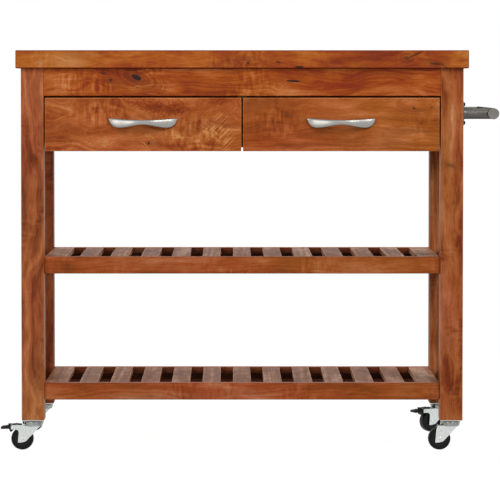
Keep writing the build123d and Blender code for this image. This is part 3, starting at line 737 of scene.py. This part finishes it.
mouldings = {
    # nylon wheel, moulded: black going to dark grey, satin, scuffed matt where it rolls
    "blackNylon": {"dark": "#060606", "light": "#0d0d0c", "roughness": 0.42, "waver": 0.07, "size": 3.0,
                   "relief": 0.02, "specular": 0.2},
    # ABS pedal, moulded with a fine spark texture: an even dark grey without a sharp shine
    "blackAbs": {"dark": "#060606", "light": "#0c0c0c", "roughness": 0.5, "waver": 0.04, "size": 0.7,
                 "relief": 0.05, "specular": 0.2},
}


def addFinish(name, look, metallic):
    # a speckle of the finish's own scale moves its tone, its shine and, very slightly, its surface
    material, tree = newMaterial(name)
    add = partial(addNode, tree)
    place = add("TexCoord", out="Object")
    spread = add("VectorMath.MULTIPLY", place, look.get("stretch", (1, 1, 1)))
    speckle = add("TexNoise", {"Vector": spread, "Scale": 1 / (look["size"] * millimetre), "Detail": 3})
    share = add("MapRange", speckle, *noiseSpan, 0.0, 1.0)
    tone = add("Mix", {0: share, 6: linear(look["dark"]), 7: linear(look["light"])}, out=2, data_type="RGBA")
    least, most = look["roughness"] - look["waver"], look["roughness"] + look["waver"]
    depth = look.get("relief", 0.02) * millimetre
    shader = add("BsdfPrincipled", {
        "Base Color": tone, "Metallic": metallic,
        "Roughness": add("MapRange", speckle, *noiseSpan, least, most),
        "Normal": add("Bump", {"Height": speckle, "Strength": 0.2, "Distance": depth}),
        "Specular IOR Level": look.get("specular", 0.5),
        "Specular Tint": linear(look.get("edge", "#ffffff")),
    })
    add("OutputMaterial", shader)
    return material


metals = {name: addFinish(name, look, 1.0) for name, look in finishes.items()}
plastics = {name: addFinish(name, look, 0.0) for name, look in mouldings.items()}
print("metal and plastic")


# Pulls: castings that bow out from two feet

pullForm = {
    "halfLength": 75, "topMiddle": 6.4, "topEnd": 10.4, "underMiddle": 4.4, "belly": 11.3, "bellyAt": 0.72,
    "tip": 8.4, "foot": 6, "projection": 25, "bow": 1.3, "thickness": 7, "softness": 0.85,
    "sunk": 1,               # how far the feet may reach into the drawer's front
    "rows": 97, "columns": 32,
}


def pullShell(face, middleX, middleZ):
    # along runs from -1 to 1 and round once about the section; with t = |along|:
    # top = topMiddle, rising by t^2 to topEnd; under = a sine belly that a quarter ellipse closes
    # towards the tip; front = foot, rising by cos^2(90 degrees * t^bow) to projection; and the section
    # is a soft ellipse between them
    look = pullForm
    along = np.sin(np.linspace(-np.pi / 2, np.pi / 2, look["rows"]))[:, None]
    around = onceRound(look["columns"])[None, :]
    t = np.abs(along)
    top = look["topMiddle"] + (look["topEnd"] - look["topMiddle"]) * t ** 2
    deep = look["belly"] - look["underMiddle"]
    swell = -look["underMiddle"] - deep * np.sin(np.pi / 2 * np.minimum(t / look["bellyAt"], 1)) ** 2
    past = np.clip((t - look["bellyAt"]) / (1 - look["bellyAt"]), 0, 1)
    close = look["tip"] - (look["tip"] + look["belly"]) * np.sqrt(1 - past ** 2)
    under = np.where(t < look["bellyAt"], swell, close)
    front = look["foot"] + (look["projection"] - look["foot"]) * np.cos(np.pi / 2 * t ** look["bow"]) ** 2
    back = np.maximum(front - look["thickness"], -look["sunk"])
    y = -(front + back) / 2 - (front - back) / 2 * softPower(np.cos(around), look["softness"])
    z = (top + under) / 2 + (top - under) / 2 * softPower(np.sin(around), look["softness"])
    points = gridOf(along * look["halfLength"], y, z) * millimetre
    return moved(gridShell(points[::-1], capStart=True, capEnd=True), (middleX, face, middleZ))


def makePulls():
    for side in ("left", "right"):
        node = f"{side}_drawer_pull"
        low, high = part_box(node)
        middleZ = high.z - pullForm["topEnd"] * millimetre
        shell = pullShell(high.y, (low.x + high.x) / 2, middleZ)
        makePiece(node, shell, f"{side}_drawer", "satin_nickel", metals["satinNickel"], sharp=50)


makePulls()
print("pulls")


# Rail handle: a tube on two posts, each post with a plate screwed to its leg

handleForm = {
    "wall": 1.5, "edge": 0.5, "capRim": 1.2, "capDome": 0.5, "postRadius": 12, "weldRadius": 1.2,
    "weldLength": 2.5, "plateThickness": 2, "plateCorner": 6, "plateEdge": 0.6, "screwHead": 4.3,
    "screwRise": 4, "screwEdge": 0.1, "domePower": 0.6, "screwSpacing": 41,
    "slotHalf": 0.55, "slotReach": 2.5, "slotDepth": 1.6, "wallSteepness": 12, "endSteepness": 8,
}


def roundHead(look):
    # a full dome, radius * sin^domePower and rise * cos^domePower, with a cross sunk in it wherever a
    # point lies within half a slot of either centre line and inside the slot's reach
    def slot(radius, angle):
        side = np.minimum(np.abs(radius * np.cos(angle)), np.abs(radius * np.sin(angle)))
        near = 1 / (1 + np.exp((side - look["slotHalf"]) * look["wallSteepness"]))
        return -look["slotDepth"] * near / (1 + np.exp((radius - look["slotReach"]) * look["endSteepness"]))

    turn = np.linspace(np.pi / 2, 0.0004, 30)
    head, edge, power = look["screwHead"], look["screwEdge"], look["domePower"]
    radius = np.r_[head - edge, head * np.sin(turn) ** power]
    height = np.r_[0, edge + (look["screwRise"] - edge) * np.cos(turn) ** power]
    return spun(radius, height, 0, turns=96, rise=slot)


def makeHandle():
    look = handleForm
    low, high = np.array(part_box("handle_tube")) / millimetre
    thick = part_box("handle_caps")[1].y / millimetre - high[1]
    middle, tubeRadius = (low + high) / 2, (high[0] - low[0]) / 2
    edge = look["edge"]

    def add(name, shells, slot, material, sharp=35):
        shell = joined(shells)
        shell["points"] = shell["points"] * millimetre
        makePiece(name, shell, "frame", slot, metals[material], sharp=sharp)

    # the tube's ends are eased a little, so that a thin line shows where each cap starts
    half = (high[1] - low[1]) / 2
    bore = tubeRadius - look["wall"]
    radius = [bore, tubeRadius - edge, tubeRadius, tubeRadius, tubeRadius - edge, bore]
    height = [-half, -half, -half + edge, half - edge, half, half]
    add("handle_tube", [moved(spun(radius, height, 1, turns=96), middle)], "satin_steel", "brushedSteel")

    # each cap is a disc with a rounded rim round a face that dishes by a parabola
    caps = []
    flat = tubeRadius - look["capRim"]
    rim = np.linspace(0, np.pi / 2, 6)
    face = np.linspace(flat, 0.4, 14)
    dished = thick - look["capDome"] * (1 - (face / tubeRadius) ** 2)
    radius = np.r_[tubeRadius - edge, tubeRadius, flat + look["capRim"] * np.cos(rim), face]
    height = np.r_[0.05, 0.35, thick - 1 + np.sin(rim), dished]
    for side in (-1, 1):
        cap = spun(radius, height, 1, turns=72)
        cap["points"] = cap["points"] * np.array([side, side, 1])
        caps.append(moved(cap, (middle[0], side * half + middle[1], middle[2])))
    add("handle_caps", caps, "satin_steel", "mattSteel")

    # a post runs from its plate to the tube, where its end follows the tube's round surface; at the
    # plate it spreads by an exponential fillet
    screws = []
    for name in ("front", "rear"):
        node = f"handle_bracket_{name}"
        low, high = np.array(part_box(node)) / millimetre
        centreY, start = (low[1] + high[1]) / 2, low[0] + look["plateThickness"]
        plate = roundedBoard(low, (start, high[1], high[2]), 0, look["plateCorner"], look["plateEdge"])
        angle = onceRound(64)[None, :]
        t = np.linspace(0, 1, 40)[:, None] ** 2
        seat = middle[0] - np.sqrt(tubeRadius ** 2 - (look["postRadius"] * np.sin(angle)) ** 2)
        x = start + t * (seat - start)
        radius = look["postRadius"] + look["weldRadius"] * np.exp(-(x - start) / look["weldLength"])
        post = gridOf(x, centreY + radius * np.cos(angle), middle[2] + radius * np.sin(angle))
        add(node, [plate, gridShell(post, capStart=True, capEnd=True)], "satin_steel", "brushedSteel")
        for rise in (-0.5, 0.5):
            place = (start, centreY, middle[2] + rise * look["screwSpacing"])
            screws.append(moved(roundHead(look), place))
    add("handle_screws", screws, "black_screw", "blackOxide", sharp=60)


makeHandle()
print("rail handle")


# Casters: drawn in millimetres about their swivel axis, with the wheel trailing to the left, then
# turned as each stands at rest and set under its leg

casterForm = {
    "axle": (-25, 25), "axleRadius": 3, "axleHead": 3.6, "headRise": 0.78,
    "web": (53.5, 55.5), "plateOuter": 12.2, "plateInner": 10.2, "fold": 2.2, "sheet": 2, "sheetEdge": 0.45,
    # edges of the sheet, as heights and places along; and rises on the horn and how far inside its tip
    "nose": ((16.5, 17, 18.5, 20, 55.5), (-33, -26, -19.5, -16.5, 17)),
    "foot": ((16.5, 17, 18), (-33, -34, -34.5)), "footTop": 18.5, "heelTop": -28.5,
    "footLevels": (16.5, 16.7, 17.1, 17.7, 18.3, 19, 20, 21.5), "midLevels": (24, 37.5), "highLevel": 48.5,
    "tail": -46, "hornTip": -50, "hornUnder": 46, "hornFillet": 8, "hornHeel": -32,
    "hornRound": ((0, 0.15, 0.6, 1.3), (1.3, 0.9, 0.25, 0)),
    "plate": (66, 68), "plateHalf": 23.5, "plateCorner": 3.5, "plateEdge": 0.4,
    "bore": 3.05, "cupFloor": 19, "cupRadius": 22, "cupInner": 17, "cupTop": 64.3, "cupLip": 2.5,
    "cupBend": 0.6, "cupInset": 0.5, "cupFlare": 0.9, "cupGap": 0.1,
    "raceInner": 12, "raceOuter": 16, "raceBottom": 55.8, "raceEdge": 0.4, "groove": (1.2, 2),
    "wheelHalf": 9, "wheelRadius": 25, "crown": 0.7, "shoulder": 0.9,
    "wheelSide": (           # radius from the bore outwards, and depth below the hub's face
        (3.05, 6.7, 7.2, 7.5, 18.9, 19.4, 19.8, 21.6, 21.8, 22.2, 22.4, 23.2, 23.9),
        (0, 0, 0.2, 1.5, 1.5, 0.4, 0, 0, 0.35, 0.35, 0, 0, 0.25),
    ),
    # circles of the pedal's outline: place along, height, radius
    "boss": (-45, 49.5, 3.4), "shoe": (-50, 42.4, 2.2), "root": (-53, 50.6, 3.4),
    "padRoot": (-56.4, 50.6, 3.4), "padTip": (-70.4, 49.4, 2.6),
    "pinRadius": 1.75, "pinHead": 2.2, "middleHalf": 9.4, "middleArris": 0.5, "padHalf": 12.2,
    "padArris": 1.3, "grips": 6, "gripInset": 2.2, "gripHalf": 0.7, "gripSunk": 0.6, "gripRise": 0.45,
    "tongue": (-56.4, -26), "tongueHalf": 6, "tongueLow": 55.8, "tongueThick": 2, "tongueTip": 1.2,
    "tongueSoftness": 0.35, "hump": (-38, 5, 0.9), "humpUnder": 0.6, "riserEnd": -51.5,
}
joints = {joint["name"]: joint for joint in frame["joints"]}


def standing(shell, corner, turned=True):
    # millimetres about the swivel axis to metres in the cart, turned as the wheel's own axis is
    axis = joints[f"{corner}_wheel_spin"]["axis"] if turned else (0, 1, 0)
    turn = np.array([[axis[1], axis[0], 0], [-axis[0], axis[1], 0], [0, 0, 1]])
    place = np.array(joints[f"{corner}_swivel"]["pos_m"]) * (1, 1, 0)
    return {"points": shell["points"] @ turn.T * millimetre + place, "faces": shell["faces"]}


def forkSheet(braked):
    # one sheet folded to a U: rows climb one plate, round its fold by a quarter circle, cross the web
    # and go down the other plate; columns run from the heel edge to the nose edge at that height; on a
    # braked fork the heel curves out, by a quarter circle, to the horns that hold the pedal's pin
    look = casterForm
    outer, fold, top = look["plateOuter"], look["fold"], look["web"][1]
    under, fillet = look["hornUnder"], look["hornFillet"]
    rises, inside = (np.array(values) for values in look["hornRound"])
    level = np.r_[look["footLevels"], np.linspace(*look["midLevels"], 6),
                  under - fillet * np.linspace(1, 0, 7) ** 1.5, under + rises[1:],
                  np.linspace(look["highLevel"], top - fold, 4)]
    nose = np.interp(level, *look["nose"])
    footLevel, footHeel = look["foot"]
    heel = np.interp(level, [*footLevel, under, top], [*footHeel, look["hornHeel"], look["heelTop"]])
    tail = look["heelTop"]
    if braked:
        drop = np.clip(level - under + fillet, 0, fillet)
        slope = np.interp(level, [footLevel[-1], under], [footHeel[-1], look["hornHeel"]])
        curve = slope - fillet + np.sqrt(fillet ** 2 - drop ** 2)
        horn = np.interp(level, under + rises, look["hornTip"] + inside)
        foot = np.interp(level, footLevel, footHeel)
        heel = np.select([level > under, level > look["footTop"]], [horn, curve], foot)
        tail = look["tail"]
    bend = np.linspace(0, np.pi / 2, 6)[1:]
    flat = np.linspace(-outer + fold, 0, 5)[1:]
    y = np.r_[np.full(len(level), -outer), -outer + fold * (1 - np.cos(bend)), flat]
    z = np.r_[level, top - fold + fold * np.sin(bend), np.full(4, top)]
    front, back = (np.r_[edge, np.linspace(edge[-1], end, 6)[1:], np.full(4, end)]
                   for edge, end in ((nose, look["nose"][1][-1]), (heel, tail)))
    y = np.r_[y, -y[-2::-1]]
    z, front, back = (np.r_[values, values[-2::-1]] for values in (z, front, back))
    x = back[:, None] + (front - back)[:, None] * np.linspace(0, 1, 25)
    return gridShell(gridOf(x, y[:, None], z[:, None]), wrapColumns=False)


def cupShell():
    # the race cup: a floor, a wall that flares by a sine to its rolled lip, and the wall's inside
    look = casterForm
    low, high = look["web"][0], look["web"][1] + look["cupGap"]
    bore, foot, inner, gap = look["bore"], look["cupFloor"], look["cupInner"], look["cupGap"]
    bend, inset = look["cupBend"], look["cupInset"]
    rise = np.linspace(0, 1, 12)
    flare = look["cupRadius"] - foot - bend - inset
    wall = foot + bend + flare * np.sin(np.pi / 2 * rise) ** look["cupFlare"]
    top, half = look["cupTop"], look["cupLip"] / 2
    wallZ = low + bend + (top - 2 * half - low - bend) * rise
    turn = np.linspace(-np.pi / 2, np.pi / 2, 9)
    lip = look["cupRadius"] - half + half * np.cos(turn)
    lipZ = top - half + half * np.sin(turn)
    radius = np.r_[bore, foot - inset, foot + 0.2, wall, lip, inner + inset, inner, inner, bore]
    height = np.r_[low - gap, low - gap, low + gap, wallZ, lipZ, top, top - inset, high, high]
    return spun(radius, height, 2, turns=96, closed=True)


def ringShell():
    # the ball race: a square ring, grooved half way up its outside by an ellipse's arc
    look = casterForm
    inner, outer, edge = look["raceInner"], look["raceOuter"], look["raceEdge"]
    depth, half = look["groove"]
    low, top = look["raceBottom"], look["plate"][0]
    turn = np.linspace(0, np.pi, 9)
    radius = np.r_[inner, outer - edge, outer, outer - depth * np.sin(turn), outer, outer - edge, inner]
    height = np.r_[low, low, low + edge, (top + low) / 2 - half * np.cos(turn), top - edge, top, top]
    return spun(radius, height, 2, turns=72, closed=True)


def wheelShell():
    # hub, dished web, rim and a tread crowned by a half ellipse, mirrored about the wheel's middle;
    # a fine groove runs round each side of the rim
    look = casterForm
    half, outer, crown = look["wheelHalf"], look["wheelRadius"], look["crown"]
    side, depth = (np.array(values) for values in look["wheelSide"])
    tread = np.linspace(-1, 1, 19)
    radius = np.r_[side, outer - crown + crown * np.sqrt(1 - tread ** 2), side[::-1]]
    height = np.r_[-half + depth, tread * (half - look["shoulder"]), half - depth[::-1]]
    return moved(spun(radius, height, 1, turns=96, closed=True), (look["axle"][0], 0, look["axle"][1]))


def rivetShell(place, radius, head):
    # a pin through the fork with a domed head at each end, head * cos round and headRise * sin out
    inside, outside = casterForm["plateInner"], casterForm["plateOuter"] + 0.02
    turn = np.linspace(0, 1.5, 10)
    dome, rise = head * np.cos(turn), outside + casterForm["headRise"] * np.sin(turn)
    radii = np.r_[dome[::-1], head, radius, radius, head, dome]
    heights = np.r_[-rise[::-1], -inside, -inside, inside, inside, rise]
    return moved(spun(radii, heights, 1, turns=48), (place[0], 0, place[1]))


def hullSlab(circles, half, arris):
    # the outline drawn tight round some circles, as a slab between -half and half: at each angle the
    # circle that reaches furthest gives the point, and the edges round off by a quarter circle
    angle = onceRound(120)
    way = np.stack([np.cos(angle), np.sin(angle)], axis=-1)
    circles = np.array(circles)
    furthest = (way @ circles[:, :2].T + circles[:, 2]).argmax(axis=1)
    centre, radius = circles[furthest, :2], circles[furthest, 2]
    turn = np.r_[np.linspace(-np.pi / 2, 0, 6), np.linspace(0, np.pi / 2, 6)]
    y = np.repeat([-half + arris, half - arris], 6) + arris * np.sin(turn)
    reach = radius - arris * (1 - np.cos(turn))[:, None]
    outline = centre + reach[..., None] * way
    points = gridOf(outline[..., 0], y[:, None], outline[..., 1])
    return gridShell(points[::-1], capStart=True, capEnd=True)


def pedalShell():
    # a slab between the fork's horns, a wide pad with grips across it, and a tongue over the web whose
    # top rises by a bell curve and whose tip closes by a quarter circle
    look = casterForm
    middle = hullSlab([look["boss"], look["root"], look["shoe"]], look["middleHalf"], look["middleArris"])
    pad = hullSlab([look["padRoot"], look["padTip"]], look["padHalf"], look["padArris"])
    grips = []
    (rootX, rootZ, rootRadius), (tipX, tipZ, tipRadius) = look["padRoot"], look["padTip"]
    wide, half = look["padHalf"] - look["gripInset"], look["gripHalf"]
    for x in np.linspace(tipX + 1, rootX - 2, look["grips"]):
        top = np.interp(x, [tipX, rootX], [tipZ + tipRadius, rootZ + rootRadius])
        low = (x - half, -wide, top - look["gripSunk"])
        grips.append(roundedBoard(low, (x + half, wide, top + look["gripRise"]), 1, 0.4, 0.3))
    start, end = look["tongue"]
    x = np.linspace(start, end, 48)[:, None]
    around = onceRound(40)[None, :]
    humpX, humpHalf, humpRise = look["hump"]
    rise = humpRise * np.exp(-((x - humpX) / humpHalf) ** 2)
    past = ((x - end + look["tongueTip"]) / look["tongueTip"]).clip(0, 1)
    tip = np.sqrt(np.clip(1 - past ** 2, 0.02, 1))
    under = look["tongueLow"]
    low, high = under + look["humpUnder"] * rise, under + look["tongueThick"] + rise
    wide, soft = look["tongueHalf"], look["tongueSoftness"]
    up = (high - low) / 2 * tip * softPower(np.sin(around), soft)
    across = wide * softPower(np.cos(around), soft)
    tongue = gridOf(x, across, (low + high) / 2 + up)
    riserTop = (look["riserEnd"], wide, under + look["tongueThick"])
    riser = roundedBoard((start, -wide, look["root"][1]), riserTop, 2, 0.8, 0.4)
    return joined([middle, pad, *grips, gridShell(tongue, capStart=True, capEnd=True), riser])


def foldSheet(fork):
    # the sheet's thickness goes inwards, and its cut edges are softened as a press leaves them
    sheet = fork.modifiers.new("sheet", "SOLIDIFY")
    sheet.thickness = casterForm["sheet"] * millimetre
    sheet.offset = -1
    edge = fork.modifiers.new("pressedEdge", "BEVEL")
    edge.width = casterForm["sheetEdge"] * millimetre
    edge.segments = 2
    edge.limit_method = "ANGLE"
    edge.angle_limit = radians(50)
    edge.harden_normals = True


def casterPiece(corner, name, shell, body, slot, material, nodes=(), sharp=None):
    name, body = f"{corner}_{name}", f"{corner}_{body}"
    return makePiece(name, standing(shell, corner), body, slot, material, nodes, sharp)


def makeCasters():
    look = casterForm
    half, (low, high) = look["plateHalf"], look["plate"]
    plate = roundedBoard((-half, -half, low), (half, half, high), 2, look["plateCorner"], look["plateEdge"])
    zinc = metals["brightZinc"]
    for corner in corners:
        add = partial(casterPiece, corner)
        braked = f"{corner}_brake_press" in joints
        foldSheet(add("fork", forkSheet(braked), "caster", "zinc_plate", zinc))
        fork = f"{corner}_fork"
        add("fork_cup", cupShell(), "caster", "zinc_plate", metals["shadeReflectingZinc"], [fork], sharp=40)
        axle = rivetShell(look["axle"], look["axleRadius"], look["axleHead"])
        add("axle", axle, "caster", "zinc_screw", zinc, sharp=50)
        add("wheel", wheelShell(), "wheel", "wheel_plastic", plastics["blackNylon"], sharp=35)
        if braked:
            pin = rivetShell(look["boss"], look["pinRadius"], look["pinHead"])
            add("brake_pin", pin, "caster", "zinc_screw", zinc, sharp=50)
            add("brake_pedal", pedalShell(), "brake_pedal", "pedal_plastic", plastics["blackAbs"], sharp=40)
    plates = joined([standing(plate, corner, turned=False) for corner in corners])
    makePiece("caster_plates", plates, "frame", "zinc_plate", zinc, sharp=40)
    races = joined([standing(ringShell(), corner) for corner in corners])
    makePiece("caster_races", races, "frame", "race_steel", metals["shadedRacewaySteel"], sharp=40)


makeCasters()
print("casters")


# The pieces that keep their own solids: what lies inside, and small screws

def paintNodes():
    grainAxes = {"drawer_sides": 1, "drawer_back": 0, "divider": 1, "corner_blocks": 0}
    inner = {axis: addWood(f"innerAcacia{axis}", "inner", along=axis) for axis in (0, 1)}
    plywood = addWood("birchPlywood", "plywood", along=0)
    for node, piece in frame["nodes"].items():
        if piece.hide_render:
            continue
        material = metals["brightZinc"]
        if "drawer_bottom" in node:
            material = plywood
        for word, axis in grainAxes.items():
            if word in node:
                material = inner[axis]
        for slot in piece.material_slots:
            slot.material = material


paintNodes()
print("other pieces painted")
